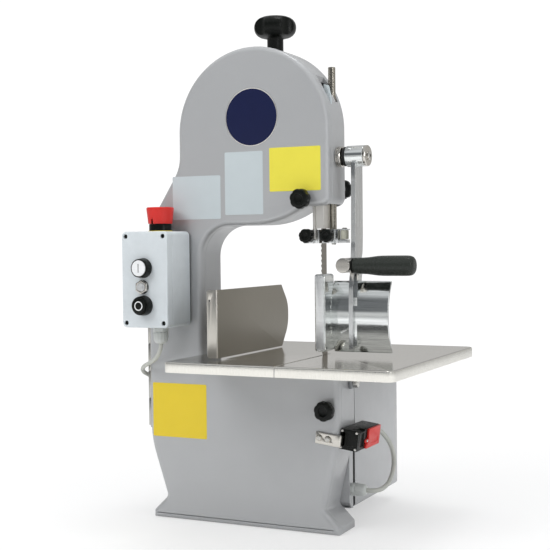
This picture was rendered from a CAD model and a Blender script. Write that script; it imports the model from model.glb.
"""The looks of a bench-top bone saw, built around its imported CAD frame.

Lengths are millimetres in the machine's own frame: X right, Y back, Z up, with X = 0 at the
left foot tip and Y = 0 on the door's front face. ORIGIN moves them to the CAD frame.
"""

import math

import bmesh
import bpy
from mathutils import Matrix, Vector


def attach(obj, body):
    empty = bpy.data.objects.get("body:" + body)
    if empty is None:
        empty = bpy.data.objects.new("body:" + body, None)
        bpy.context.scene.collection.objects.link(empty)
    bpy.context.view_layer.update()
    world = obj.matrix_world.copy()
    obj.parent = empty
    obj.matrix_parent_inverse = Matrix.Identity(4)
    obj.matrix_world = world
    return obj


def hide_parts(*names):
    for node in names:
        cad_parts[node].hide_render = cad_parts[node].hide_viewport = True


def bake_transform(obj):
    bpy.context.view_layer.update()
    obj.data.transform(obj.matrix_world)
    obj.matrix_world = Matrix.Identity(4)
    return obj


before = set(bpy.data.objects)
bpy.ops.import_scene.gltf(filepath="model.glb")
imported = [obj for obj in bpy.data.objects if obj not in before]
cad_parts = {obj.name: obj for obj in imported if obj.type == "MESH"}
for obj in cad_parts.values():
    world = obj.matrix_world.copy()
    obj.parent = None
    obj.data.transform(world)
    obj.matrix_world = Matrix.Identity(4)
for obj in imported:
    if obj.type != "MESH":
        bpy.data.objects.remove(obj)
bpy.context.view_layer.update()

MM = 0.001
ORIGIN = Vector((-213.85, -69.50, 0))

# ---- shared dimensions; a centre is given in the plane across its axis --------------------
WHEEL_R, WHEEL_X, UPPER_Z, WHEEL_Y0 = 102.7, 179.8, 599.6, 22.5
BLADE_LENGTH, BLADE_THICK, RUN_GAP, TEETH = 1550, 0.6, 0.35, 206
BLADE_Y0, BLADE_Y1 = 24, 44
RUN_R = WHEEL_R + RUN_GAP + BLADE_THICK / 2
LOWER_Z = UPPER_Z - (BLADE_LENGTH - 2 * math.pi * RUN_R) / 2
BLADE_X = WHEEL_X + RUN_R
UPPER_HUB, LOWER_HUB = (WHEEL_X, UPPER_Z), (WHEEL_X, LOWER_Z)
POST, POST_R = (292, 50), 5.5
CLAMP = (POST[0], 511)
KNOB_UP, KNOB_LOW = (267.3, 494.6), (302.4, 185.5)
GUIDE_KNOBS = (264.5, 440.5), (297.5, 440.5)
TENSION = (WHEEL_X, 90)
PIVOT = (38, 557)
FENCE_ROD = (55, 300)
SWITCH_GLAND = (76, 54.5)


# ---- materials ----------------------------------------------------------------------------
def add_node(tree, kind, output, *values, props=(), **named):
    """Adds a shader node and gives one output. Sockets are linked in, other values are set."""
    node = tree.nodes.new("ShaderNode" + kind)
    for key, value in dict(props).items():
        setattr(node, key, value)
    inputs = [*enumerate(values), *((key.replace("_", " "), v) for key, v in named.items())]
    for key, value in inputs:
        if isinstance(value, bpy.types.NodeSocket):
            tree.links.new(value, node.inputs[key])
        else:
            node.inputs[key].default_value = value
    return node.outputs[output]


class Surface:
    """One Principled material with procedural detail in object coordinates."""

    def __init__(self, name, colour, metallic, rough):
        self.material = bpy.data.materials.new(name)
        self.material.use_nodes = True
        self.tree = self.material.node_tree
        self.shader = self.tree.nodes["Principled BSDF"]
        self.set(Base_Color=(*colour, 1), Metallic=metallic, Roughness=rough)
        self.coord = self.add("TexCoord", "Object")
        self.normal = None

    def add(self, kind, output, *values, **named):
        return add_node(self.tree, kind, output, *values, **named)

    def set(self, **values):
        for key, value in values.items():
            self.shader.inputs[key.replace("_", " ")].default_value = value

    def link(self, socket, target):
        self.tree.links.new(socket, self.shader.inputs[target])

    def noise(self, scale, detail=3, rough=0.5, stretch=(1, 1, 1)):
        place = self.add("Mapping", "Vector", Vector=self.coord, Scale=stretch)
        return self.add(
            "TexNoise", "Fac", Vector=place, Scale=scale, Detail=detail, Roughness=rough
        )

    def span(self, value, low, high, from_low=0.3, from_high=0.7):
        return self.add(
            "MapRange", "Result", Value=value,
            From_Min=from_low, From_Max=from_high, To_Min=low, To_Max=high,
        )

    def math(self, operation, first, second):
        return self.add("Math", 0, first, second, props={"operation": operation})

    def weigh(self, first, share, second):
        """The first value by its share, plus the second by the rest."""
        return self.math(
            "ADD", self.math("MULTIPLY", first, share), self.math("MULTIPLY", second, 1 - share)
        )

    def mix(self, factor, first, second):
        self.colour = self.add(
            "Mix", "Result", props={"data_type": "RGBA"}, Factor=factor, A=first, B=second
        )
        self.link(self.colour, "Base Color")

    def tint(self, factor, dark, light):
        self.mix(factor, (*dark, 1), (*light, 1))

    def wear(self, worn):
        """Lightens exposed edges, found by how sharply the surface is turning."""
        edges = self.span(
            self.add("NewGeometry", "Pointiness"), 0, 0.35, from_low=0.53, from_high=0.60
        )
        patches = self.span(self.noise(scale=900, detail=2), 0.2, 1)
        self.mix(self.math("MULTIPLY", edges, patches), self.colour, (*worn, 1))

    def roughness(self, value, low, high):
        self.link(self.span(value, low, high), "Roughness")

    def bump(self, value, depth, strength):
        """Adds a bump of a depth in millimetres over the ones before."""
        before = {"Normal": self.normal} if self.normal else {}
        self.normal = self.add(
            "Bump", "Normal", Distance=depth * MM, Strength=strength, Height=value, **before
        )
        self.link(self.normal, "Normal")


def shade(colour, factor):
    return tuple(max(0.0, min(1.0, x * factor)) for x in colour)


def paint(name, colour, rough, metallic):
    surface = Surface(name, colour, metallic, rough)
    grain = surface.noise(scale=2600, detail=2, rough=0.6)
    both = surface.weigh(grain, 0.55, surface.noise(scale=7))
    surface.tint(both, shade(colour, 0.93), shade(colour, 1.07))
    surface.wear(shade(colour, 1.35))
    surface.roughness(surface.noise(scale=38, detail=4, rough=0.6), rough - 0.05, rough + 0.07)
    surface.bump(surface.noise(scale=760, detail=2), depth=0.05, strength=0.35)
    surface.bump(surface.noise(scale=60, detail=2), depth=0.25, strength=0.10)
    surface.set(Coat_Weight=0.6, Coat_Roughness=0.14)
    return surface.material


def plastic(name, colour, rough, grain, depth, worn=None, mottle=0.1):
    surface = Surface(name, colour, 0, rough)
    mottling = surface.noise(scale=45, detail=4, rough=0.6)
    surface.tint(mottling, shade(colour, 1 - mottle), shade(colour, 1 + mottle))
    if worn:
        surface.wear(worn)
    surface.roughness(surface.noise(scale=150, detail=4, rough=0.6), rough - 0.06, rough + 0.08)
    surface.bump(surface.noise(scale=grain, rough=0.6), depth, strength=0.6)
    if max(colour) < 0.1:
        surface.set(Specular_IOR_Level=0.20)
    return surface.material


def brushed(name, colour, rough, along, depth, contrast, aniso=0.3, fine=1):
    surface = Surface(name, colour, 1, rough)
    stretch = tuple(1.2 if axis == along else 120 for axis in "XYZ")
    lines = surface.noise(scale=24 * fine, detail=4, rough=0.65, stretch=stretch)
    hairlines = surface.noise(scale=70 * fine, detail=2, rough=0.6, stretch=stretch)
    broad = surface.noise(scale=14)
    both = surface.weigh(lines, 0.6, hairlines)
    light = shade(colour, 1 + contrast * 0.6)
    surface.tint(surface.weigh(both, 0.65, broad), shade(colour, 1 - contrast), light)
    surface.roughness(both, rough - 0.06, rough + 0.10)
    surface.bump(both, depth, strength=0.5)
    surface.set(Anisotropic=aniso)
    return surface.material


def polished(name, colour, rough, waves=0, wave_scale=0, scratch=0.3,
             along=(1, 1, 14), bands=(0.25, 0.25, 7), shades=(0.95, 1.02)):
    surface = Surface(name, colour, 1, rough)
    streaks = surface.noise(scale=26, detail=5, rough=0.7, stretch=bands)
    streaks = surface.span(streaks, 0, 1, from_low=0.38, from_high=0.56)
    surface.tint(streaks, shade(colour, shades[0]), shade(colour, shades[1]))
    smears = surface.noise(scale=60, detail=5, rough=0.65, stretch=along)
    surface.roughness(smears, rough * 0.75, rough * 1.5)
    surface.bump(surface.noise(scale=90, rough=0.6, stretch=along), 0.012, strength=scratch)
    if waves:
        ripples = surface.noise(scale=wave_scale, detail=2, stretch=(0.25, 0.6, 1.6))
        surface.bump(ripples, waves, strength=0.5)
    return surface.material


def lamp_lens():
    surface = Surface("lamp_lens", (0.86, 0.87, 0.88), metallic=0, rough=0.12)
    surface.set(Transmission_Weight=0.55, IOR=1.49)
    surface.roughness(surface.noise(scale=300), 0.08, 0.2)
    cells = surface.add("TexVoronoi", "Distance", Vector=surface.coord, Scale=700)
    surface.bump(cells, depth=0.15, strength=0.5)
    return surface.material


def ground(name, colour, rough, along):
    return brushed(name, colour, rough, along, depth=0.008, contrast=0.15)


def label(name, colour):
    return plastic(name, colour, rough=0.5, grain=300, depth=0.01, mottle=0.03)


MATERIALS = {
    "paint": paint("silver_grey_paint", (0.455, 0.462, 0.470), rough=0.42, metallic=0.25),
    "primer": paint("cast_grey", (0.24, 0.25, 0.26), rough=0.55, metallic=0.1),
    "table": brushed("stainless_table", (0.66, 0.64, 0.60), rough=0.085, along="Y",
                     depth=0.003, contrast=0.08, aniso=0.2),
    "rim": brushed("stainless_rim", (0.88, 0.86, 0.80), rough=0.27, along="Z",
                   depth=0.012, contrast=0.18),
    "fence": brushed("brushed_fence", (0.40, 0.375, 0.325), rough=0.42, along="Z",
                     depth=0.010, contrast=0.08),
    "fence_edge": brushed("fence_edge", (0.72, 0.69, 0.63), rough=0.36, along="Z",
                          depth=0.010, contrast=0.12),
    "alu": polished("polished_aluminium", (0.86, 0.88, 0.87), rough=0.11, waves=0.10,
                    wave_scale=40, shades=(0.80, 1.04)),
    "alu_flat": polished("aluminium_flat", (0.70, 0.71, 0.71), rough=0.20, waves=0.05,
                         wave_scale=60, along=(14, 14, 1), bands=(6, 6, 0.25),
                         shades=(0.93, 1.02)),
    "alu_face": polished("ground_aluminium", (0.97, 0.98, 0.98), rough=0.34),
    "nickel": polished("nickel_plate", (0.62, 0.595, 0.55), rough=0.17),
    "guard": brushed("satin_guard", (0.86, 0.835, 0.79), rough=0.36, along="Z",
                     depth=0.006, contrast=0.06, aniso=0.2),
    "post": polished("ground_post", (0.46, 0.43, 0.37), rough=0.22, scratch=0.1),
    "steel": ground("ground_steel", (0.50, 0.49, 0.46), rough=0.26, along="Z"),
    "steel_y": ground("turned_steel", (0.52, 0.51, 0.48), rough=0.26, along="Y"),
    "blade": brushed("blade_steel", (0.33, 0.31, 0.275), rough=0.33, along="Z",
                     depth=0.010, contrast=0.25),
    "cast": brushed("cast_wheel", (0.55, 0.55, 0.54), rough=0.38, along="Y",
                    depth=0.02, contrast=0.12, aniso=0.1, fine=0.5),
    "zinc": polished("zinc_screw", (0.62, 0.61, 0.58), rough=0.24),
    "black": plastic("black_plastic", (0.005, 0.006, 0.005), rough=0.30, grain=1400, depth=0.03),
    "grip": plastic("grip_plastic", (0.030, 0.034, 0.030), rough=0.27, grain=700, depth=0.05),
    "box": plastic("enclosure_grey", (0.66, 0.705, 0.73), rough=0.42, grain=1900, depth=0.05,
                   worn=(0.8, 0.83, 0.85)),
    "gland": plastic("gland_grey", (0.56, 0.58, 0.56), rough=0.36, grain=800, depth=0.02,
                     worn=(0.7, 0.7, 0.7)),
    "cable": plastic("cable_grey", (0.50, 0.51, 0.47), rough=0.44, grain=600, depth=0.04,
                     worn=(0.6, 0.6, 0.57)),
    "red": plastic("red_plastic", (0.66, 0.020, 0.014), rough=0.36, grain=1200, depth=0.03),
    "white": plastic("white_plastic", (0.86, 0.87, 0.88), rough=0.26, grain=900, depth=0.01),
    "yellow": plastic("yellow_ring", (0.75, 0.60, 0.04), rough=0.4, grain=900, depth=0.02),
    "nylon": plastic("white_nylon", (0.66, 0.655, 0.54), rough=0.34, grain=500, depth=0.03,
                     worn=(0.8, 0.8, 0.7)),
    "rubber": plastic("black_rubber", (0.02, 0.02, 0.02), rough=0.75, grain=900, depth=0.06,
                      worn=(0.06, 0.06, 0.06)),
    "motor": paint("motor_grey", (0.16, 0.17, 0.19), rough=0.5, metallic=0.2),
    "sticker": label("blank_label_white", (0.54, 0.60, 0.62)),
    "sticker_y": label("blank_label_yellow", (0.80, 0.60, 0.03)),
    "sticker_l": label("blank_label_lemon", (0.82, 0.73, 0.07)),
    "badge": plastic("blank_badge", (0.010, 0.014, 0.055), rough=0.35, grain=80, depth=0.001),
    "ink": plastic("mark_black", (0.02, 0.02, 0.02), rough=0.5, grain=900, depth=0),
    "lens": lamp_lens(),
}


# ---- finished pieces ------------------------------------------------------------------------
def temp(shape, name="tool"):
    """An object in the CAD frame, made from a bmesh in the machine's frame."""
    bmesh.ops.remove_doubles(shape, verts=shape.verts, dist=1e-4)
    bmesh.ops.recalc_face_normals(shape, faces=shape.faces)
    bmesh.ops.translate(shape, verts=shape.verts, vec=ORIGIN)
    bmesh.ops.scale(shape, verts=shape.verts, vec=(MM, MM, MM))
    mesh = bpy.data.meshes.new(name)
    shape.to_mesh(mesh)
    shape.free()
    made = bpy.data.objects.new(name, mesh)
    bpy.context.scene.collection.objects.link(made)
    return made


def piece(name, shape, material, body, replaces=(), joins=(), cuts=(), meets=(),
          bevel=0, bevel_seg=2, angle=30, sharp=34):
    """One finished piece: Booleans are applied, then edges are rounded and shaded by angle."""
    made = temp(shape, name)
    tools = []
    for kind, group in (("UNION", joins), ("INTERSECT", meets), ("DIFFERENCE", cuts)):
        for tool in group:
            tools.append(temp(tool))
            boolean = made.modifiers.new(kind, "BOOLEAN")
            boolean.operation = kind
            boolean.object = tools[-1]
    if bevel:
        edge = made.modifiers.new("edge", "BEVEL")
        edge.width = bevel * MM
        edge.segments = bevel_seg
        edge.limit_method = "ANGLE"
        edge.angle_limit = math.radians(angle)
    if made.modifiers:
        depsgraph = bpy.context.evaluated_depsgraph_get()
        mesh = bpy.data.meshes.new_from_object(made.evaluated_get(depsgraph))
        made.modifiers.clear()
        made.data = mesh
        mesh.name = name
    for tool in tools:
        bpy.data.objects.remove(tool, do_unlink=True)
    made.data.materials.clear()
    made.data.materials.append(MATERIALS[material])
    made.data.shade_smooth()
    made.data.set_sharp_from_angle(angle=math.radians(sharp))
    if body:
        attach(made, body)
    if replaces:
        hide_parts(*([replaces] if isinstance(replaces, str) else replaces))
    return made


def second_material(made, material, chosen):
    """Gives another material to the faces whose normal is chosen."""
    made.data.materials.append(MATERIALS[material])
    for face in made.data.polygons:
        if chosen(face.normal):
            face.material_index = 1


# ---- flat outlines, as (a, b) points ----------------------------------------------------------
def circle(centre, radius, seg=48, phase=0):
    angles = [phase + 2 * math.pi * i / seg for i in range(seg)]
    return [(centre[0] + radius * math.cos(a), centre[1] + radius * math.sin(a)) for a in angles]


def lobed(centre, radius, lobes, depth, seg=14, phase=0, sharp=1.6):
    """A circle with round lobes, seg points to a lobe."""
    out = []
    for i in range(lobes * seg):
        angle = 2 * math.pi * i / (lobes * seg)
        wave = 0.5 + 0.5 * math.cos(lobes * angle)
        reach = radius - depth * (1 - wave) ** sharp
        out.append((
            centre[0] + reach * math.cos(angle + phase), centre[1] + reach * math.sin(angle + phase)
        ))
    return out


def rectangle(a0, a1, b0, b1, radius, steps):
    """Corners of a rectangle, for fillet."""
    return [(a, b, radius, steps) for a, b in ((a0, b0), (a1, b0), (a1, b1), (a0, b1))]


def fillet(corners, inset=0):
    """Rounds the (a, b, radius, steps) corners of an anticlockwise outline moved in by inset."""
    lines = []
    for i, corner in enumerate(corners):
        start, end = Vector(corner[:2]), Vector(corners[(i + 1) % len(corners)][:2])
        along = (end - start).normalized()
        lines.append((start + Vector((-along.y, along.x)) * inset, along))
    out = []
    for i, (_, _, radius, steps) in enumerate(corners):
        (before, way_in), (after, way_out) = lines[i - 1], lines[i]
        cross = way_in.x * way_out.y - way_in.y * way_out.x
        gap = after - before
        corner = before + way_in * ((gap.x * way_out.y - gap.y * way_out.x) / cross)
        sign = 1 if cross > 0 else -1
        radius = max(radius - inset, 0.4) if cross > 0 else radius + inset
        turn = math.acos(max(-1.0, min(1.0, way_in.dot(way_out))))
        start = corner - way_in * (radius * math.tan(turn / 2))
        centre = start + Vector((-way_in.y, way_in.x)) * (radius * sign)
        arm = start - centre
        for k in range(steps + 1):
            angle = sign * turn * k / steps
            cos, sin = math.cos(angle), math.sin(angle)
            out.append((centre.x + arm.x * cos - arm.y * sin, centre.y + arm.x * sin + arm.y * cos))
    return out


# ---- solids; start and end lie along the axis ---------------------------------------------------
AXES = {
    "X": lambda a, b, along: (along, a, b),
    "Y": lambda a, b, along: (a, along, b),
    "Z": lambda a, b, along: (a, b, along),
}


def loft(loops, ring=False):
    """Skins closed loops; the ends are capped, or joined to each other as a ring."""
    shape = bmesh.new()
    rows = [[shape.verts.new(point) for point in loop] for loop in loops]
    count = len(rows[0])
    pairs = list(zip(rows, rows[1:]))
    if ring:
        pairs.append((rows[-1], rows[0]))
    for row, following in pairs:
        for i in range(count):
            j = (i + 1) % count
            shape.faces.new((row[i], row[j], following[j], following[i]))
    if not ring:
        shape.faces.new(rows[0])
        shape.faces.new(list(reversed(rows[-1])))
    return shape


def stack(outlines, axis="Z", ring=False):
    """Lofts (outline, place along the axis) pairs."""
    return loft([[AXES[axis](a, b, along) for a, b in line] for line, along in outlines], ring)


def prism(outline, start, end, axis="Z"):
    return stack([(outline, start), (outline, end)], axis)


def inset_stack(corners, profile, axis="Z", ring=False):
    """Lofts a filleted outline through (inset, place along the axis) pairs."""
    return stack([(fillet(corners, inset), along) for inset, along in profile], axis, ring)


def filleted(corners, start, end, axis="Z"):
    return prism(fillet(corners), start, end, axis)


def turned(profile, centre, axis="Z", seg=48, ring=False):
    """Turns (radius, place along the axis) pairs."""
    return stack([(circle(centre, radius, seg), along) for radius, along in profile], axis, ring)


def cylinder(radius, start, end, centre, axis="Z", seg=24):
    return turned([(radius, start), (radius, end)], centre, axis, seg)


def hexagon(radius, start, end, centre, axis="Z", phase=0):
    return prism(circle(centre, radius, 6, phase), start, end, axis)


def quarter(edge, steps):
    """(inset, depth) pairs over a rounded edge, from the face to the side."""
    angles = [math.pi / 2 * k / steps for k in range(steps + 1)]
    return [(edge * (1 - math.sin(a)), edge * (1 - math.cos(a))) for a in angles]


def rod(radius, start, end, start_edge, end_edge, centre, axis="Z", seg=24, steps=5):
    """A cylinder whose rims are rounded by start_edge and end_edge; 0 leaves a rim square."""
    way = math.copysign(1, end - start)
    near, far = [(radius, start)], [(radius, end)]
    if start_edge:
        near = [(radius - i, start + way * d) for i, d in quarter(start_edge, steps)]
    if end_edge:
        far = [(radius - i, end - way * d) for i, d in reversed(quarter(end_edge, steps))]
    return turned(near + far, centre, axis, seg)


def box(x0, x1, y0, y1, z0, z1, bevel=0, seg=1):
    shape = bmesh.new()
    bmesh.ops.create_cube(shape, size=1)
    for v in shape.verts:
        x, y, z = v.co
        v.co = (x0 if x < 0 else x1, y0 if y < 0 else y1, z0 if z < 0 else z1)
    if bevel:
        edges = list(shape.edges)
        bmesh.ops.bevel(
            shape, geom=edges, offset=bevel, segments=seg, affect="EDGES", profile=0.5
        )
    return shape


def cross_slot(x, y0, y1, z, reach, half):
    """Two crossing cuts for a screw head that faces along Y."""
    return [
        box(x - reach, x + reach, y0, y1, z - half, z + half),
        box(x - half, x + half, y0, y1, z - reach, z + reach),
    ]


def slab(corners, y0, y1, edge, steps):
    """A plate in the X-Z plane with softly rounded front and back edges."""
    rim = quarter(edge, steps)
    profile = [(i, y0 + d) for i, d in rim] + [(i, y1 - d) for i, d in reversed(rim)]
    return inset_stack(corners, profile, "Y")


def sweep_path(points, steps):
    """A Catmull-Rom curve through the points."""
    knots = [Vector(point) for point in points]
    path = []
    for i in range(len(knots) - 1):
        p0, p1, p2 = knots[max(i - 1, 0)], knots[i], knots[i + 1]
        p3 = knots[min(i + 2, len(knots) - 1)]
        for k in range(steps):
            t = k / steps
            path.append(0.5 * (
                (2 * p1) + (p2 - p0) * t + (2 * p0 - 5 * p1 + 4 * p2 - p3) * t * t
                + (3 * p1 - p0 - 3 * p2 + p3) * t ** 3
            ))
    path.append(knots[-1])
    return path


def sweep(points, radius, seg, steps):
    path = sweep_path(points, steps)
    tangent = (path[1] - path[0]).normalized()
    side = tangent.orthogonal().normalized()
    loops = []
    for i, centre in enumerate(path):
        new = (path[min(i + 1, len(path) - 1)] - path[max(i - 1, 0)]).normalized()
        side = (tangent.rotation_difference(new) @ side).normalized()
        tangent = new
        other = tangent.cross(side)
        angles = [2 * math.pi * k / seg for k in range(seg)]
        loops.append([centre + radius * (side * math.cos(a) + other * math.sin(a)) for a in angles])
    return loft(loops)


# ---- frame and door -----------------------------------------------------------------------------
HEAD_R = 126.15
HEAD_TOP, HEAD_BOTTOM = UPPER_Z + HEAD_R, 484.2
COLUMN_X0, COLUMN_X1 = -4.1, 91.7
BODY_X1, BODY_TOP, ARM_Z = 317.5, 246, 458.1
# Corners shared by the casting and the door: x, z, radius, steps.
OUTLINE = [
    (0, 0, 1.5, 4), (317, 0, 1.5, 4), (317, 11, 4.5, 6), (292.6, 35, 9, 10),
    (BODY_X1, 147, 190, 16), (BODY_X1, BODY_TOP, 8, 6), (COLUMN_X1, BODY_TOP, 3, 5),
    (COLUMN_X1, ARM_Z, 48, 24), (221.7, ARM_Z, 141.5, 14), (266.3, HEAD_BOTTOM, 22, 10),
    (WHEEL_X + HEAD_R, HEAD_BOTTOM, 14, 12),
    (WHEEL_X + HEAD_R, HEAD_TOP + 0.05, HEAD_R - 0.05, 44),
    (WHEEL_X - HEAD_R, HEAD_TOP + 0.05, HEAD_R - 0.05, 44), (WHEEL_X - HEAD_R, 549, 60, 14),
    (COLUMN_X0, 459, 20, 10), (COLUMN_X0, 124, 150, 16), (25, 35, 9, 10), (0, 11, 4.5, 6),
]


def shell(face_y, rim_y, edge, wall, side_wall, steps):
    """An open tray: a face with a rounded edge and side walls up to the rim."""
    way = 1 if rim_y > face_y else -1
    profile = [(inset, face_y + way * depth) for inset, depth in quarter(edge, steps)]
    profile += [
        (0, rim_y - way * 0.5), (0.35, rim_y), (side_wall, rim_y),
        (side_wall, face_y + way * wall),
    ]
    return inset_stack(OUTLINE, profile, "Y")


piece(
    "casting", shell(face_y=66, rim_y=15.4, edge=3, wall=5, side_wall=5, steps=5),
    "paint", "frame", "frame_casting",
    joins=[
        *(rod(8.5, 30, 63, 1, 0, knob, "Y", 32) for knob in (KNOB_UP, KNOB_LOW)),
        cylinder(26, 54, 63, LOWER_HUB, "Y", 48), box(284.8, 300.4, 43.8, 63, 500, 528),
        rod(9, 63, 78, 0, 1, CLAMP, "Y", 32),
    ],
    cuts=[
        # Knob studs, lower shaft, upper axle's slot and the clamp stud.
        *(cylinder(4.6, 18, 52, knob, "Y") for knob in (KNOB_UP, KNOB_LOW)),
        cylinder(12, 50, 70, LOWER_HUB, "Y", 40),
        filleted(
            rectangle(WHEEL_X - 9.5, WHEEL_X + 9.5, UPPER_Z - 18, UPPER_Z + 9.6, 9.3, 8),
            58, 70, "Y",
        ),
        cylinder(3.4, 52, 82, CLAMP, "Y", 20),
        # Openings under the head for the guard and post, and the blade's openings below.
        box(276.5, 300.5, 10, 60.5, 480, 496), box(270.5, 277, 10, 29, 480, 496),
        cylinder(POST_R + 0.35, 480, 540, POST, "Z", 32),
        box(131, 229, 18, 50, 236, 252), box(276, 290, 17, 49, 236, 252),
        # Shoulder opening over the post.
        cylinder(7.4, 600, 700, POST, "Z", 32), box(279, 300.5, 19, 49, 650, 700),
        box(296, 308, 46, 56, 640, 650),
        # Pusher pivot and fence rod.
        cylinder(7.5, 296, 312, PIVOT, "X", 28), cylinder(5.6, 80, 98, FENCE_ROD, "X"),
    ],
)
piece(
    "door_panel", shell(face_y=0, rim_y=15, edge=8, wall=3, side_wall=4, steps=9),
    "paint", "door", "front_door",
    cuts=[cylinder(4.2, -4, 6, knob, "Y") for knob in (KNOB_UP, KNOB_LOW)],
)
# Light tab and dark block inside the shoulder opening.
TAB = [
    (289.6, 626, 1, 3), (301, 626, 1, 3), (301, 644, 2, 4), (297, 662, 1.2, 4),
    (289.6, 664.4, 0.8, 3),
]
piece(
    "shoulder_tab", filleted(TAB, 24.2, 28.2, "Y"), "sticker", "frame", bevel=0.9, bevel_seg=3
)
piece("shoulder_well", box(280, 288.8, 29, 44.6, 648, 655), "rubber", "frame")

# Plain round badge and plain stickers.
BADGE = (181.6, 619.8)
BADGE_RIM = [(42.4, -0.5), (43, -0.7), (43.6, -0.4), (43.6, 0.3), (42.4, 0.3)]
piece("badge_rim", turned(BADGE_RIM, BADGE, "Y", 96, ring=True), "guard", "door")
BADGE_PLATE = [(42.6, 0.2), (42.6, -0.35), (41.8, -0.45)]
piece("badge_plate", turned(BADGE_PLATE, BADGE, "Y", 96), "badge", "door")
# Name, (left, right, bottom, top), material.
for name, sides, material in (
    ("label_right", (211, 294.2, 507, 572), "sticker_l"),
    ("label_middle", (135.6, 200, 473.8, 568.6), "sticker"),
    ("label_left", (43.4, 127.8, 468.2, 534.7), "sticker"),
    ("label_low", (2.6, 98.8, 129, 213.4), "sticker_y"),
):
    piece(name, slab(rectangle(*sides, 2, 5), -0.28, 1.4, edge=0.1, steps=1), material, "door")

# Hinge on the left side: leaves with knuckles, the pin and the screws.
HINGE, HINGE_R, HINGE_Z0, HINGE_Z1 = (-9.5, 15), 4.5, 143, 447
LEAF_X = (-5.5, -4.5)
KNUCKLES = 7
PITCH = (HINGE_Z1 - HINGE_Z0) / KNUCKLES


def hinge_leaf(name, node, body, first, y0, y1):
    """A leaf from y0 to y1 with every other knuckle, counted from the first."""
    reach = (y1 - 0.5, HINGE[1]) if y1 < HINGE[1] else (HINGE[1], y0 + 0.5)
    joins = []
    for i in range(first, KNUCKLES, 2):
        z0, z1 = HINGE_Z0 + i * PITCH + 0.3, HINGE_Z0 + (i + 1) * PITCH - 0.3
        joins.append(box(*LEAF_X, *reach, z0, z1))
        joins.append(rod(HINGE_R, z0, z1, 0.3, 0.3, HINGE, "Z", 28, steps=2))
    piece(
        name, box(*LEAF_X, y0, y1, HINGE_Z0, HINGE_Z1), "steel", body, node, joins=joins,
        cuts=[cylinder(2.4, HINGE_Z0 - 2, HINGE_Z1 + 2, HINGE, "Z", 20)],
    )


hinge_leaf("hinge_frame_leaf", "hinge_leaf_frame", "frame", 0, 20.2, 42)
hinge_leaf("hinge_door_leaf", "hinge_leaf_door", "door", 1, 6.6, 9.9)
PIN = [
    (1.2, HINGE_Z0 - 3.6), (2, HINGE_Z0 - 2.8), (2, HINGE_Z1 + 2.8), (1.2, HINGE_Z1 + 3.6)
]
piece("hinge_rod", turned(PIN, HINGE, "Z", 20), "steel", "frame", "hinge_pin")
HINGE_SCREW = [(3.4, -5.4), (3.4, -6), (2.6, -6.9), (0.9, -7.2)]
for k in range(6):
    z = HINGE_Z0 + 22 + k * 51.8
    piece(
        "hinge_screw_%d" % k, turned(HINGE_SCREW, (31, z), "X", 20), "zinc", "frame",
        cuts=[box(-8, -6.5, 27, 35, z - 0.4, z + 0.4)],
    )


# ---- hand knobs -----------------------------------------------------------------------------------
KNOB_LOBES, KNOB_SEG = 7, 14


def hand_knob(name, node, body, centre, face, back, stud_end, radius, axis, stud_r):
    way = 1 if back > face else -1
    high = abs(back - face)
    # Share of the radius, lobe depth as a share (0 for a plain circle), depth from the face.
    rows = [
        (0.08, 0, 2.6), (0.36, 0, 2.5), (0.42, 0, 2.1), (0.44, 0, 0.9), (0.47, 0, 0.25),
        (0.52, 0, 0), (0.80, 0.03, 0.25), (0.90, 0.06, 0.9), (0.965, 0.085, 2.1),
        (0.99, 0.10, 3.4), (1, 0.11, high * 0.30), (1, 0.11, high * 0.52),
        (0.97, 0.09, high * 0.60), (0.86, 0.04, high * 0.66), (0.66, 0, high * 0.70),
        (0.57, 0, high * 0.76), (0.55, 0, high - 0.4), (0.52, 0, high),
    ]
    lines = []
    for share, lobe, depth in rows:
        if lobe:
            line = lobed(centre, radius * share, KNOB_LOBES, radius * lobe * 0.85,
                         KNOB_SEG, phase=0.2, sharp=3)
        else:
            line = circle(centre, radius * share, KNOB_LOBES * KNOB_SEG)
        lines.append((line, face + way * depth))
    piece(name, stack(lines, axis), "black", body, node, sharp=48)
    stud = rod(stud_r, back - way * 0.5, stud_end, 0, 0.7, centre, axis, 24, steps=3)
    piece(name + "_stud", stud, "zinc", body)


# Name, CAD node, body, centre, face, back, stud end, radius, axis, stud radius.
for row in (
    ("knob_upper", "door_knob_upper", "door_knob_upper_body", KNOB_UP,
     -22, -0.4, 37, 15, "Y", 3),
    ("knob_lower", "door_knob_lower", "door_knob_lower_body", KNOB_LOW,
     -22, -0.4, 37, 15, "Y", 3),
    ("clamp_knob", "post_clamp_knob", "post_clamp_body", CLAMP, 97, 78.6, 56.4, 15, "Y", 3),
    ("guide_knob_l", "guide_knob_left", "guide_knob_left_body", GUIDE_KNOBS[0],
     6, 23.5, 33, 10.8, "Y", 3),
    ("guide_knob_r", "guide_knob_right", "guide_knob_right_body", GUIDE_KNOBS[1],
     6, 23.5, 33, 10.3, "Y", 3),
    ("fence_knob", "fence_lock_knob", "fence_lock_body", (102.5, FENCE_ROD[0]),
     328, 311, 306, 9.5, "Z", 2.6),
):
    hand_knob(*row)


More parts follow.
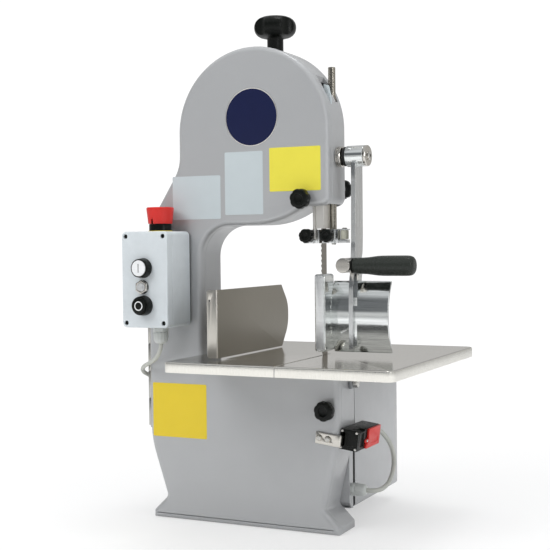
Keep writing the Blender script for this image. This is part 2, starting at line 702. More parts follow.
# ---- wheels, axles and blade ------------------------------------------------------------------------
# Wheel section: radius, distance behind the front rim.
WHEEL_SECTION = [
    (8.4, 1.4), (8.9, 0.9), (21, 0.9), (23, 2), (26, 6.5), (30, 7.6), (84, 8), (88, 7),
    (90.6, 3), (91.6, 0.5), (92.4, 0), (WHEEL_R - 1, 0), (WHEEL_R, 0.8), (WHEEL_R, 20.4),
    (WHEEL_R - 0.1, 22.4), (WHEEL_R - 0.6, 23), (92.4, 23), (91.4, 22.2), (89, 15.5),
    (85, 14.4), (30, 14.8), (25, 17), (22, 21.6), (20, 22.1), (8.9, 22.1), (8.4, 21.6),
]
WHEEL_HOLE = [(15.6, 24), (14.6, 31), (14.6, 37), (15.6, 44)]  # radius, y
HOLE_RING_R = 57
for name, node, body, z in (
    ("wheel_top", "upper_wheel", "upper_wheel_body", UPPER_Z),
    ("wheel_bottom", "lower_wheel", "drive", LOWER_Z),
):
    holes = []
    for k in range(5):
        turn = math.radians(90 + 72 * k)
        x = WHEEL_X + HOLE_RING_R * math.cos(turn)
        holes.append(turned(WHEEL_HOLE, (x, z + HOLE_RING_R * math.sin(turn)), "Y", 36))
    section = [(radius, WHEEL_Y0 + depth) for radius, depth in WHEEL_SECTION]
    piece(
        name, turned(section, (WHEEL_X, z), "Y", 128, ring=True), "cast", body, node, cuts=holes
    )
for name, node, body, hub, back_y in (
    ("axle_top", "upper_axle", "wheel_carriage", UPPER_HUB, 88),
    ("axle_bottom", "drive_shaft", "drive", LOWER_HUB, 80),
):
    piece(
        name, rod(8, 19, back_y, 1, 1, hub, "Y", 40), "steel_y", body, node,
        cuts=[turned([(2.2, 17), (2.2, 26), (0.4, 28)], hub, "Y", 20)],
    )
    piece(
        name + "_nut", hexagon(12, 19.6, 23.1, hub, "Y"), "zinc", body, bevel=0.6,
        cuts=[cylinder(8.3, 18, 25, hub, "Y", 32)],
    )


def band_path(radius):
    """Four points a tooth at even steps of the centre line, drawn with the given radius."""
    run = UPPER_Z - LOWER_Z
    half = math.pi * RUN_R
    count = TEETH * 4
    out = []
    for i in range(count):
        s = (2 * run + 2 * half) * i / count
        if s < half:
            a = s / RUN_R
            out.append((WHEEL_X + radius * math.cos(a), UPPER_Z + radius * math.sin(a)))
        elif s < half + run:
            out.append((WHEEL_X - radius, UPPER_Z - (s - half)))
        elif s < 2 * half + run:
            a = math.pi + (s - half - run) / RUN_R
            out.append((WHEEL_X + radius * math.cos(a), LOWER_Z + radius * math.sin(a)))
        else:
            out.append((WHEEL_X + radius, LOWER_Z + (s - 2 * half - run)))
    return out


# The band: a closed loop with hooked teeth along its front edge.
GULLETS = (0, 2.9, 2.6, 1.3)  # depth over one tooth, tip first
band = []
for side, toothed in ((-1, True), (1, True), (1, False), (-1, False)):
    path = band_path(RUN_R + side * BLADE_THICK / 2)
    band.append([
        (x, BLADE_Y0 + GULLETS[i % 4] if toothed else BLADE_Y1, z)
        for i, (x, z) in enumerate(path)
    ])
piece("toothed_band", loft(band, ring=True), "blade", "frame", "saw_blade", sharp=25)

# ---- tension gear -----------------------------------------------------------------------------------
piece(
    "tension_rails", box(146, 213.6, 66.4, 71, 556, 700), "primer", "frame",
    "tension_bracket", bevel=1,
    joins=[
        box(146, 158.6, 70, 108, 556, 700), box(201, 213.6, 70, 108, 556, 700),
        box(150, 210, 70, 108, 688, 700),
    ],
    cuts=[cylinder(5.5, 680, 706, TENSION, "Z", 28), box(165, 194.6, 60, 75, 578, 618)],
)
for k, spot in enumerate(((152.3, 572), (152.3, 684), (207.3, 572), (207.3, 684))):
    piece(
        "rail_screw_%d" % k, rod(4.6, 107.8, 112.2, 0, 0.6, spot, "Y", 28, steps=3),
        "zinc", "frame", cuts=[hexagon(2.4, 109.6, 114, spot, "Y")],
    )
piece(
    "slide_block", box(159, 200.6, 71.5, 107.5, 584, 616), "steel_y", "wheel_carriage",
    "wheel_slide_block", bevel=1.2,
    cuts=[
        cylinder(8.4, 70, 88.4, UPPER_HUB, "Y", 36), cylinder(5.4, 609, 620, TENSION, "Z", 28)
    ],
)
THREAD_Z0, THREAD_Z1, THREAD_STEPS = 612, 744, 150
thread = [
    (5 if k % 2 else 4.45, THREAD_Z0 + (THREAD_Z1 - THREAD_Z0) * k / THREAD_STEPS)
    for k in range(THREAD_STEPS + 1)
]
piece(
    "lead_screw", turned([(4.4, 609.5), *thread, (4.4, 744.6)], TENSION, "Z", 24),
    "zinc", "wheel_carriage", "tension_screw", sharp=60,
)
COIL_R, COIL_Z, COIL_RISE, COIL_TURNS, COIL_STEPS = 9.5, 702.4, 19.6, 4, 120
coil_end = 2 * math.pi * COIL_TURNS
coil = [
    (TENSION[0] + COIL_R * math.cos(a), TENSION[1] + COIL_R * math.sin(a),
     COIL_Z + COIL_RISE * a / coil_end)
    for a in [coil_end * k / COIL_STEPS for k in range(COIL_STEPS + 1)]
]
piece(
    "coil_spring", sweep(coil, 1.4, seg=14, steps=1), "zinc", "frame", "tension_spring",
    sharp=60,
)
# Handwheel: radius, z.
HANDWHEEL = [
    (11.9, 724.6), (12.7, 725.4), (12.7, 748.6), (13.4, 750.4), (15.6, 751.4), (20, 751.9),
    (24.4, 753.2), (28, 755.5), (30.8, 758.8), (32.4, 762.6), (33, 767), (32.7, 771),
    (31.5, 774.8), (29.2, 778.2), (25.8, 781), (20.4, 783.3), (13.6, 784.6), (6, 785), (1, 785),
]
SCALLOP_R, SCALLOP_RING_R, SCALLOP_TURN = 20, 45.6, math.radians(18.8)
scallops = []
for k in range(4):
    turn = SCALLOP_TURN + math.pi / 4 + math.pi / 2 * k
    x = TENSION[0] + SCALLOP_RING_R * math.cos(turn)
    y = TENSION[1] + SCALLOP_RING_R * math.sin(turn)
    scallops.append(cylinder(SCALLOP_R, 740, 800, (x, y), "Z", 96))
piece(
    "tension_handwheel", turned(HANDWHEEL, TENSION, "Z", 120), "black", "tension_knob_body",
    "tension_knob", cuts=[cylinder(5.6, 720, 745.4, TENSION, "Z", 28)] + scallops,
    bevel=0.7, bevel_seg=3, angle=24, sharp=40,
)

# ---- blade guide ------------------------------------------------------------------------------------
piece(
    "post", rod(POST_R, 434.5, 692, 0.5, 0.9, POST, "Z", 40), "post", "guide_carriage",
    "guide_post",
)
GUARD_T, GUARD_X0, GUARD_X1, GUARD_Y0 = 1.2, 277.4, 291, 18
# Channel section with a flange to the left: x, y, radius, steps.
GUARD = [
    (GUARD_X0, GUARD_Y0, 1.4, 4), (GUARD_X1, GUARD_Y0, 1.4, 4), (GUARD_X1, 42.4, 0.4, 2),
    (GUARD_X1 - GUARD_T, 42.4, 0.4, 2), (GUARD_X1 - GUARD_T, GUARD_Y0 + GUARD_T, 0.5, 3),
    (GUARD_X0 + GUARD_T, GUARD_Y0 + GUARD_T, 0.5, 3), (GUARD_X0 + GUARD_T, 27.6, 0.4, 2),
    (271.5, 27.6, 0.5, 3), (271.5, 26.4, 0.5, 3), (GUARD_X0, 26.4, 0.4, 2),
]
piece("guard_channel", filleted(GUARD, 451.2, 520), "guard", "guide_carriage", "blade_guard")
piece(
    "guard_rod", rod(2.9, 436, 488, 0.4, 0.6, (274.2, 22.4), "Z", 28), "guard",
    "guide_carriage",
)
BLOCK_Z = (429.4, 449.8)
piece(
    "guide_body", box(255, 304, 24, 58, *BLOCK_Z), "alu_flat", "guide_carriage",
    "guide_block", bevel=0.8, bevel_seg=3,
    joins=[
        box(301, 308, 30, 58, *BLOCK_Z), box(306, 320.6, 32.5, 46, 448.7, 450.4),
        box(306, 320.6, 32.5, 46, 429.6, 434.6),
    ],
    cuts=[
        box(280.4, 285, 20, 47, 425, 455), cylinder(POST_R + 0.05, 434, 460, POST, "Z", 36),
        *(cylinder(3.4, 20, 34, knob, "Y", 20) for knob in GUIDE_KNOBS),
        box(270.6, 276.6, 20, 29, 425, 455), box(286.8, 289.6, 20, 27, 425, 455),
    ],
)
ROLLER = (315, 39.2)
ROLLER_PROFILE = [
    (4.4, 435), (5.5, 435.1), (6, 435.7), (6, 447.8), (5.5, 448.4), (4.4, 448.5)
]
piece(
    "guide_wheel", turned(ROLLER_PROFILE, ROLLER, "Z", 40), "nylon", "guide_roller_body",
    "guide_roller",
)
piece(
    "roller_screw", turned([(3.6, 450.4), (3.6, 451.6), (3, 452.2)], ROLLER, "Z", 28),
    "zinc", "guide_carriage", cuts=[box(310, 320, 38.9, 39.5, 451.6, 453)],
)
for k, (x, z) in enumerate(((274.2, 436), (286.5, 446.5))):
    piece(
        "guide_screw_%d" % k, rod(2.3, 24.4, 21.8, 0, 0.5, (x, z), "Y", 24, steps=3),
        "zinc", "guide_carriage", joins=[cylinder(2.3, 24, 31.5, (x, z), "Y")],
        cuts=[box(x - 3, x + 3, 20, 22.5, z - 0.3, z + 0.3)],
    )
piece(
    "guide_underscrew", hexagon(3.6, 427.2, 429.6, (300, 33)), "zinc", "guide_carriage",
    bevel=0.4,
)

# ---- table ------------------------------------------------------------------------------------------
TABLE_TOP, TABLE_T, TABLE_RIM, TABLE_FOLD = 263, 2, 15, 2.6
TABLE_X0, TABLE_X1, TABLE_Y0, TABLE_Y1, TABLE_R = 107, 455, -143, 232, 12
# Folded section: inset, z.
TABLE_SECTION = [
    (5, TABLE_TOP - TABLE_T), (1.6, TABLE_TOP - TABLE_T - 0.8), (1.6, TABLE_TOP - TABLE_RIM),
    (0.3, TABLE_TOP - TABLE_RIM), (0, TABLE_TOP - TABLE_RIM + 0.4),
    *((inset, TABLE_TOP - depth) for inset, depth in reversed(quarter(TABLE_FOLD, 6))),
    (4.4, TABLE_TOP - 0.12), (6, TABLE_TOP - 0.25),
]
table = piece(
    "table_plate",
    inset_stack(rectangle(TABLE_X0, TABLE_X1, TABLE_Y0, TABLE_Y1, TABLE_R, 12), TABLE_SECTION),
    "table", "frame", "table_top", sharp=40,
    cuts=[
        # The blade's slit, its narrower way in through the front rim, and a side notch.
        box(BLADE_X - 1.5, BLADE_X + 1.9, TABLE_Y0 + 5, 53, 240, 270),
        box(BLADE_X + 0.3, BLADE_X + 2, TABLE_Y0 - 5, TABLE_Y0 + 5.2, 240, 270),
        box(TABLE_X0 - 3, TABLE_X0 + 4, -3, 70, 245, 258.5),
    ],
)
second_material(table, "rim", lambda normal: abs(normal.z) < 0.7)
piece(
    "table_support", box(196, 364, 18, 62, 252.4, 260.6), "primer", "frame",
    "table_bracket", bevel=1, joins=[box(318, 323, 42, 60, 212, 254)],
    cuts=[box(272, 290, 10, 54, 248, 264)],
)
piece(
    "support_bolt", hexagon(8, 323, 330, (51, 221), "X", 0.3), "zinc", "frame",
    "table_bolt", bevel=0.8,
)

# ---- fence ------------------------------------------------------------------------------------------
FENCE_X, FENCE_T, FENCE_Y0, FENCE_Y1, FLANGE_X = 166.5, 2.6, -87, 156, 149.9


def bend(x, y, radius, steps):
    """A quarter turn in plan from the sheet's side at x to its front at y."""
    angles = [math.pi / 2 * k / steps for k in range(steps + 1)]
    return [
        (x - radius + radius * math.cos(a), y + radius - radius * math.sin(a)) for a in angles
    ]


# Plan of the sheet, with its front end bent to the left.
fence_plan = [
    (FENCE_X, FENCE_Y1), *bend(FENCE_X, FENCE_Y0, 3, 6),
    (FLANGE_X, FENCE_Y0), (FLANGE_X, FENCE_Y0 + FENCE_T),
    *reversed(bend(FENCE_X - FENCE_T, FENCE_Y0 + FENCE_T, 1, 4)), (FENCE_X - FENCE_T, FENCE_Y1),
]
# Side view (y, z) and front view (x, z) with radius and steps.
FENCE_SIDE = [
    (-90, 264, 1, 1), (131, 264, 3, 5), (155.4, 297, 46, 14), (155.8, 332, 40, 14),
    (131, 363.6, 4, 6), (-90, 363.6, 1, 1),
]
FENCE_FRONT = [
    (FLANGE_X, 264.3, 4, 8), (168, 264.3, 0.5, 1), (168, 363.6, 0.5, 1), (FLANGE_X, 363.6, 4, 8)
]
fence = piece(
    "fence_sheet", prism(fence_plan, 264.4, 363.5), "fence", "fence", "fence_plate",
    meets=[filleted(FENCE_SIDE, 140, 170, "X"), filleted(FENCE_FRONT, -95, 160, "Y")],
    cuts=[cylinder(1.5, -90, -80, (154.5, 348), "Y")], bevel=0.35, angle=50,
)
second_material(fence, "fence_edge", lambda normal: normal.y < -0.35)
piece(
    "fence_hub", turned([(10, 156.4), (10, 163.2), (11.5, 163.9)], FENCE_ROD, "X", 36),
    "steel", "fence", cuts=[cylinder(5.2, 150, 161, FENCE_ROD, "X", 28)],
)
piece(
    "fence_guide_rod", rod(5, 24, 160.6, 0.8, 0, FENCE_ROD, "X", 36), "nickel", "fence",
    "fence_rod",
)
piece(
    "fence_carrier", box(92.1, 113, 45, 65, 290, 310), "alu_flat", "frame",
    "fence_bushing", bevel=1.4, bevel_seg=3,
    cuts=[
        cylinder(5.4, 88, 118, FENCE_ROD, "X", 28),
        cylinder(3.1, 301, 314, (102.5, FENCE_ROD[0]), "Z", 20),
    ],
)

# ---- pusher -----------------------------------------------------------------------------------------
# Pivot parts: radius, x.
PIVOT_PIN = [
    (7, 297.5), (7, 306.4), (14.6, 306.4), (15.2, 306.8), (15.2, 309), (14.5, 309.3),
    (14.5, 309.8), (15.2, 310.1), (15.2, 313.4), (14.4, 314.3), (12, 314.5), (7, 314.5),
    (7, 349.8),
]
SPACER = [
    (7.05, 317.2), (14, 317.2), (14.3, 317.6), (14.3, 320.8), (14, 321.2), (7.05, 321.2)
]
CAP = [(14.4, 350.1), (15.5, 350.7), (15.5, 353.2), (14.6, 354.2), (7.6, 354.5)]
CAP_SCREW = [(6.2, 354.3), (6.4, 354.8), (6.4, 356.2), (5.6, 357)]
piece(
    "pivot_ring", turned(PIVOT_PIN, PIVOT, "X", 64), "nickel", "frame", "pusher_pivot_pin"
)
piece(
    "pivot_spacer", turned(SPACER, PIVOT, "X", ring=True), "rubber", "frame", "pusher_spacer"
)
piece("pivot_cap", turned(CAP, PIVOT, "X", 64), "nickel", "frame", "pusher_cap")
piece(
    "pivot_screw", turned(CAP_SCREW, PIVOT, "X", 40), "zinc", "frame",
    cuts=[hexagon(3, 354.6, 358, PIVOT, "X", 0.2)],
)
piece(
    "pusher_boss", rod(15.6, 321.6, 349.8, 1, 1, PIVOT, "X", 64), "alu", "pusher",
    "pusher_arm", cuts=[cylinder(7.4, 315, 355, PIVOT, "X", 40)],
)
HANDLE = (332, 397)


def handle_bore():
    return cylinder(10.9, -20, 24.8, HANDLE, "Y", 40)


# Side views: y, z, radius, steps.
ARM_SIDE = [
    (52, 548, 1, 2), (22, 548, 1, 2), (22, 520, 30, 6), (20, 430, 60, 8), (16.5, 396, 60, 8),
    (9.6, 366, 60, 8), (8.4, 340, 60, 8), (8.4, 273.4, 3.4, 6), (15, 272.6, 3.4, 6),
    (23, 290, 20, 6), (25, 345, 40, 8), (33, 392, 26, 8), (49.5, 410, 30, 8),
    (51.5, 440, 60, 6),
]
WEB_SIDE = [
    (12, 276, 3, 4), (20, 277, 4, 5), (24.6, 300, 20, 6), (27, 342, 30, 6), (35, 380, 14, 6),
    (45, 402, 4, 5), (24, 400, 4, 6), (15, 350, 10, 6),
]
piece(
    "pusher_bar", filleted(ARM_SIDE, 332.6, 339.2, "X"), "alu_flat", "pusher",
    bevel=3, bevel_seg=4, angle=40, sharp=50,
    cuts=[cylinder(14.6, 321, 355, PIVOT, "X", 64), handle_bore()],
)
piece(
    "pusher_web", filleted(WEB_SIDE, 331.2, 343.6, "X"), "alu", "pusher",
    bevel=4.4, bevel_seg=5, sharp=60, cuts=[handle_bore()],
)
PLATE_TOP, PLATE_LOW, PLATE_Y, PLATE_SAG, PLATE_T = 374.4, 268, 13, 17, 4.2


def plate_curve(offset, seg=30):
    """Side view of the curved plate's face, moved back by offset."""
    centre_z, half = (PLATE_TOP + PLATE_LOW) / 2, (PLATE_TOP - PLATE_LOW) / 2
    radius = (half * half + PLATE_SAG * PLATE_SAG) / (2 * PLATE_SAG)
    inner = radius - offset
    angles = [math.asin(half / radius) * (2 * k / seg - 1) for k in range(seg + 1)]
    return [
        (PLATE_Y + radius - inner * math.cos(a), centre_z + inner * math.sin(a)) for a in angles
    ]


piece(
    "pusher_sheet",
    prism(plate_curve(0) + list(reversed(plate_curve(PLATE_T))), 301.2, 391.6, "X"),
    "alu", "pusher", bevel=1.4, bevel_seg=4, angle=40, sharp=50,
)
piece(
    "pusher_block", slab(rectangle(285.2, 302, 270.8, 384.4, 4, 8), -7, 28, edge=2.2, steps=6),
    "alu", "pusher", bevel=0.5, angle=60, cuts=[box(280, 310, 19.5, 23, 378, 390)],
)
piece(
    "handle_hub", rod(10.8, -12, 24.2, 0.9, 0.5, HANDLE, "Y", 56), "nickel", "pusher",
    "handle_boss",
)
GRIP = (4, 396.4)
piece(
    "handle_washer", rod(10.9, 341.3, 343.7, 0.4, 0.4, GRIP, "X", 48, steps=2), "black",
    "pusher",
)
piece(
    "block_frame", slab(rectangle(287.3, 300, 273, 382.2, 3.2, 6), -7.8, -6, edge=0.4, steps=3),
    "alu_face", "pusher",
)
# Sleeve: radius, x.
SLEEVE = [
    (9.8, 344.2), (11, 344.4), (11.6, 345.2), (11.7, 350), (11.8, 358), (12.2, 365),
    (12.9, 371), (13.7, 377), (14.2, 382), (14.5, 388), (14.6, 400), (14.6, 423),
    (14.4, 427.5), (13.8, 430.8), (12.6, 433.4), (10.4, 435.2), (7, 435.9), (3, 436),
]
piece(
    "handle_sleeve", turned(SLEEVE, GRIP, "X", 64), "grip", "pusher_grip", "handle_grip",
    sharp=45,
)

# ---- rear housing, motor and feet -------------------------------------------------------------------
HOUSE_X0, HOUSE_X1, HOUSE_Z0, HOUSE_Z1 = 12, 308, 24.5, 236


def house(margin, radius, steps):
    """Corners of the housing's outline, moved in by a margin."""
    return rectangle(
        HOUSE_X0 + margin, HOUSE_X1 - margin, HOUSE_Z0 + margin, HOUSE_Z1 - margin, radius, steps
    )


def gland_bore():
    return cylinder(8.6, 300, 312, SWITCH_GLAND, "X", 28)


COLLAR = [(2, 66.5), (0.3, 66.5), (0, 66.8), (0, 87.2), (0.4, 87.6), (2, 87.6)]  # inset, y
piece(
    "housing_collar", inset_stack(house(0, 5, 8), COLLAR, "Y", ring=True), "paint", "frame",
    "rear_housing",
    cuts=[
        prism([(60, 18), (82, 18), (60, 42)], 0, 330, "X"), box(300, 312, 80.2, 92, 20, 134),
        gland_bore(),
    ],
)
FRONT_SIDE = [(66.6, 234), (66.6, 35.2), (79.4, 24.7), (82.4, 24.7), (68.8, 36.6), (68.8, 234)]
piece(
    "collar_front", prism(FRONT_SIDE, HOUSE_X0 + 0.5, HOUSE_X1 - 0.5, "X"), "paint", "frame",
    cuts=[cylinder(64, 60, 90, LOWER_HUB, "Y", 64), gland_bore()],
)
piece(
    "housing_seal", filleted(house(0.9, 4.5, 6), 80.4, 89.4, "Y"), "rubber", "frame",
    cuts=[
        filleted(house(5, 3, 4), 78, 95, "Y"), box(HOUSE_X0 - 5, HOUSE_X1 - 3, 78, 87.8, 0, 300),
        box(HOUSE_X1 - 4, HOUSE_X1 + 3, 78, 87.8, 134, 300),
    ],
)
HOOD_BACK = 282
# Hood section: inset, y.
HOOD = [
    (3, 278), (1.8, 277), (1.8, 89.6), (0.3, 89.6), (0, 89.9),
    *((inset, HOOD_BACK - depth) for inset, depth in reversed(quarter(4, 6))),
]
piece(
    "motor_hood", inset_stack(house(0, 6, 8), HOOD, "Y"), "paint", "frame", "motor_cover",
    cuts=[
        cylinder(4.2, 5, 18, (112, 188), "X"),
        *(filleted(rectangle(70 + 26 * k, 76 + 26 * k, 70, 130, 2.9, 6), 276, 286, "Y")
          for k in range(7)),
    ],
)
for k, (x, z) in enumerate(((22, 34.5), (298, 34.5), (22, 226), (298, 226))):
    piece(
        "hood_screw_%d" % k, rod(4.2, 281.8, 284.2, 0, 1.4, (x, z), "Y", 28, steps=4),
        "zinc", "frame", cuts=cross_slot(x, 283.3, 285, z, reach=3, half=0.5),
    )
# Motor with ring fins: radius, y.
motor = [(46, 66.8), (46, 74), (58, 76), (62, 78)]
for k in range(14):
    motor += [(62, 84 + 9 * k), (62, 87 + 9 * k), (57, 87.6 + 9 * k), (57, 92.2 + 9 * k)]
motor += [(60, 214), (60, 226), (56, 232), (50, 236), (40, 238)]
piece(
    "motor_casing", turned(motor, LOWER_HUB, "Y", 72), "motor", "frame", "motor_body",
    cuts=[cylinder(8.4, 60, 82, LOWER_HUB, "Y", 32)],
)
FOOT = [
    (12, 0), (13.4, 0.5), (14.3, 1.8), (14.5, 4), (13.6, 10), (13, 17), (12.6, 22), (12, 24.2)
]
for side, x in (("left", 70), ("right", 215)):
    piece(
        "foot_" + side, turned(FOOT, (x, 236)), "rubber", "frame", "rear_foot_" + side,
        sharp=50,
    )

# ---- control box on the door ------------------------------------------------------------------------
BOX_X0, BOX_X1, BOX_Z0, BOX_Z1 = -4.6, 75.4, 304.9, 450.2
BOX = rectangle(BOX_X0, BOX_X1, BOX_Z0, BOX_Z1, 7, 12)
SPLIT_Y, LID_Y = -57, -72.4
START, LAMP, STOP = (33.8, 395), (32, 366.5), (34.4, 338.7)
ESTOP, BOX_GLAND = (37, -27.5), (41, -37)
LID_CORNERS = [(2.4, 442.8), (67.6, 442.8), (2.4, 312), (67.6, 312.2)]
# Sections: inset, y.
BASE = [
    (3, -5), (3, SPLIT_Y), (0.5, SPLIT_Y), (0.25, SPLIT_Y + 0.3), (0, -7), (0.3, -5.2),
    (1.1, -3.8), (2.4, -3.1), (4, -2.9),
]
LID = [
    (3, LID_Y + 3), (3, SPLIT_Y - 0.35), (0.6, SPLIT_Y - 0.35), (0.25, SPLIT_Y - 0.7),
    (0.15, SPLIT_Y - 1.2), (0, LID_Y + 2.2), (0.12, LID_Y + 1.2), (0.55, LID_Y + 0.5),
    (1.2, LID_Y + 0.1), (2.2, LID_Y),
]
piece(
    "enclosure_body", inset_stack(BOX, BASE, "Y"), "box", "door", "control_box_base",
    cuts=[cylinder(11.5, 440, 454, ESTOP, "Z", 40), cylinder(7.4, 300, 312, BOX_GLAND, "Z", 28)],
)
MOUNT = rectangle(BOX_X0 + 2, BOX_X1 - 2, BOX_Z0 + 2, BOX_Z1 - 2, 6, 8)
piece("enclosure_mount", filleted(MOUNT, -2.6, -0.5, "Y"), "black", "door")
piece(
    "enclosure_lid", inset_stack(BOX, LID, "Y"), "box", "door", "control_box_lid",
    cuts=[
        *(cylinder(11.4, -76, -64, button, "Y", 40) for button in (START, STOP)),
        cylinder(7.4, -76, -64, LAMP, "Y", 32),
        *(turned([(3.9, -76), (3.5, -70.2)], corner, "Y", 28) for corner in LID_CORNERS),
    ],
)
LID_SCREW = [(3.1, -70.3), (3.1, -70.6), (2.6, -71.1), (1.4, -71.4)]
for k, (x, z) in enumerate(LID_CORNERS):
    piece(
        "lid_screw_%d" % k, turned(LID_SCREW, (x, z), "Y", 24), "black", "door",
        cuts=cross_slot(x, -72, -70.9, z, reach=2.4, half=0.4),
    )

# Start and stop buttons: radius, y.
BEZEL = [
    (12.2, -85.9), (12.4, -86.3), (12.9, -86.5), (13.5, -86.2), (13.9, -85.4), (14.6, -80),
    (15.2, -74), (15.2, -73), (14.8, -72.7), (11, -72.7), (11, -60), (9.6, -60), (9.6, -78),
    (12.2, -78),
]
for side, centre in (("start", START), ("stop", STOP)):
    piece(
        side + "_bezel", turned(BEZEL, centre, "Y", 64, ring=True), "black", "door",
        side + "_collar",
    )
BUTTON = [(8.9, -62), (8.9, -83), (11.6, -84.3), (11.9, -84.6)]
START_CAP = BUTTON + [(11.9, -86.6), (11.5, -87.1), (10.4, -87.3)]
STOP_CAP = BUTTON + [(11.9, -87.8), (11.5, -88.5), (10.3, -88.8)]
piece(
    "start_cap", turned(START_CAP, START, "Y", 56), "white", "start_button_body",
    "start_button",
)
x, z = START
piece(
    "start_mark", box(x - 0.55, x + 0.55, -87.55, -87.2, z - 6.5, z + 6.5, bevel=0.1), "ink",
    "start_button_body",
)
piece("stop_cap", turned(STOP_CAP, STOP, "Y", 56), "black", "stop_button_body", "stop_button")
STOP_MARK = [(5.5, -88.72), (5.5, -89), (7, -89), (7, -88.72)]
piece("stop_mark", turned(STOP_MARK, STOP, "Y", 64, ring=True), "white", "stop_button_body")

# Indicator lamp.
piece(
    "lamp_nut", hexagon(11, -72.7, -77.6, LAMP, "Y", math.pi / 2), "nickel", "door",
    "indicator_lamp", bevel=0.9, bevel_seg=3, joins=[cylinder(7, -62, -75, LAMP, "Y", 32)],
    cuts=[turned([(6.3, -74.5), (6.6, -79)], LAMP, "Y", 40)],
)
piece(
    "lamp_washer", cylinder(10.6, -72.45, -72.75, LAMP, "Y", 48), "rubber", "door",
    cuts=[cylinder(7.4, -72, -74, LAMP, "Y", 32)],
)
DOME = [
    (6.1, -74.7), (6.1, -79.4), (5.8, -80.6), (5, -81.6), (3.6, -82.3), (1.8, -82.6),
    (0.4, -82.7),
]
piece("lamp_dome", turned(DOME, LAMP, "Y", 40), "lens", "door", sharp=60)

# Emergency stop on top of the box: radius, z.
ESTOP_RING = [(18.4, 450.3), (18.7, 450.5), (18.7, 451.1), (18.4, 451.3)]
ESTOP_COLLAR = [
    (11, 436), (11, 450.6), (16.8, 450.6), (17.2, 450.9), (17.2, 460.9), (16.8, 461.6),
    (12.6, 461.6), (12.6, 452), (9.6, 452), (9.6, 436),
]
MUSHROOM = [
    (17.6, 462.2), (18.2, 462), (18.7, 462.6), (19.1, 467.6), (19.6, 472), (20.2, 477),
    (20.8, 481.6), (21.1, 484), (21.1, 485.4), (20.7, 486.5), (19.8, 487.2), (18.2, 487.3),
    (15, 486.8), (8, 486.5), (1, 486.5),
]
piece(
    "estop_ring", turned(ESTOP_RING, ESTOP, "Z", 64), "yellow", "door",
    cuts=[cylinder(17.25, 449, 453, ESTOP, "Z", 56)],
)
piece(
    "estop_collar", turned(ESTOP_COLLAR, ESTOP, "Z", 64, ring=True), "black", "door",
    "estop_base",
)
piece(
    "estop_plunger_stem", turned([(8.8, 438), (8.8, 466.6), (8.2, 467.2)], ESTOP, "Z", 40),
    "black", "estop_plunger", "estop_stem",
)
piece(
    "estop_mushroom", turned(MUSHROOM, ESTOP, "Z", 72), "red", "estop_head", "estop_cap",
    cuts=[
        cylinder(9.4, 460, 468.2, ESTOP, "Z", 40), cylinder(17.5, 460, 466.6, ESTOP, "Z", 56),
        box(31.6, 35.2, -52, -40, 460, 469.6),
    ],
    sharp=45,
)


# ---- cable glands and cables ------------------------------------------------------------------------
def gland_dome(centre, axis, lobe_depth, before, ribbed, after):
    """A dome from (radius, place) rows: round, then with twelve ribs, then round."""
    return stack([
        *((circle(centre, radius, 60), along) for radius, along in before),
        *((lobed(centre, radius, 12, lobe_depth, seg=5), along) for radius, along in ribbed),
        *((circle(centre, radius, 60), along) for radius, along in after),
    ], axis)


NECK = [(7, 309.5), (7, 304.5), (11.2, 304.5), (11.3, 303), (9.8, 302.4), (9.8, 296)]
piece("box_gland_neck", turned(NECK, BOX_GLAND), "gland", "door", "control_gland")
piece(
    "box_gland_hex", hexagon(12.2, 297, 302.8, BOX_GLAND, "Z", 0.3), "gland", "door",
    bevel=0.7, bevel_seg=3,
)
piece(
    "box_gland_dome",
    gland_dome(
        BOX_GLAND, "Z", 0.7, before=[(10.4, 297)],
        ribbed=[(11.4, 296.2), (11.6, 294), (11.2, 287), (10.6, 283.5)],
        after=[(9.2, 281), (7, 279.3), (4.6, 278.7)],
    ),
    "gland", "door", sharp=50,
)


def in_cad(*point):
    return tuple((Vector(point) + ORIGIN) * MM)


# The cable from the control box round the hinge to the motor hood: x, y, z.
BEND_END = (-23.5, 44, 214)
DOOR_CABLE = [
    (41, -37, 280), (40.2, -36.6, 272), (33.5, -33, 261), (20, -25, 251), (5, -15.5, 244.5),
    (-9, -5, 239.5), (-20, 6, 232.5), (-24.2, 18, 226), (-24, 30, 221), BEND_END,
    (-20.5, 62, 205), (-14, 84, 196), (-4, 103, 190), (11.5, 112, 188), (20, 112, 188),
]
cable = piece(
    "door_cable", sweep(DOOR_CABLE, 3.3, seg=24, steps=10), "cable", None,
    ("control_cable", "rear_cable"), sharp=60,
)
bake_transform(cable)
piece(
    "switch_gland_dome",
    gland_dome(
        SWITCH_GLAND, "X", 0.55,
        before=[(8, 302), (8, 308.3), (9.6, 308.4), (9.6, 309.3), (8.6, 309.5), (8.6, 315.2)],
        ribbed=[(9.4, 315.6), (9.7, 317), (9.5, 323.6), (9.1, 326.8)],
        after=[(8, 329.6), (6.4, 331.4), (4.6, 332.2)],
    ),
    "gland", "frame", "interlock_gland", sharp=50,
)
piece(
    "switch_gland_hex", hexagon(10.4, 309.8, 314.8, SWITCH_GLAND, "X", 0.2), "gland", "frame",
    bevel=0.6, bevel_seg=3,
)
SWITCH_CABLE = [
    (331.5, 88, 146.8), (331.5, 93.6, 146.6), (331.7, 99, 146.5), (334.2, 109, 143.8),
    (339, 124, 136), (347, 137, 118), (352.6, 139, 98), (355, 130, 78), (354.6, 112, 62.5),
    (351, 92, 55.6), (344, 79, 54.6), (332.8, 76, 54.5), (329, 76, 54.5),
]
piece(
    "switch_cable", sweep(SWITCH_CABLE, 3.45, seg=24, steps=10), "cable", "frame",
    "interlock_cable", sharp=60,
)

# ---- door safety switch, rolled about its corner on the right side ------------------------------------
SWITCH_X, SWITCH_Z, ROLL = 315.9, 143, math.radians(7)


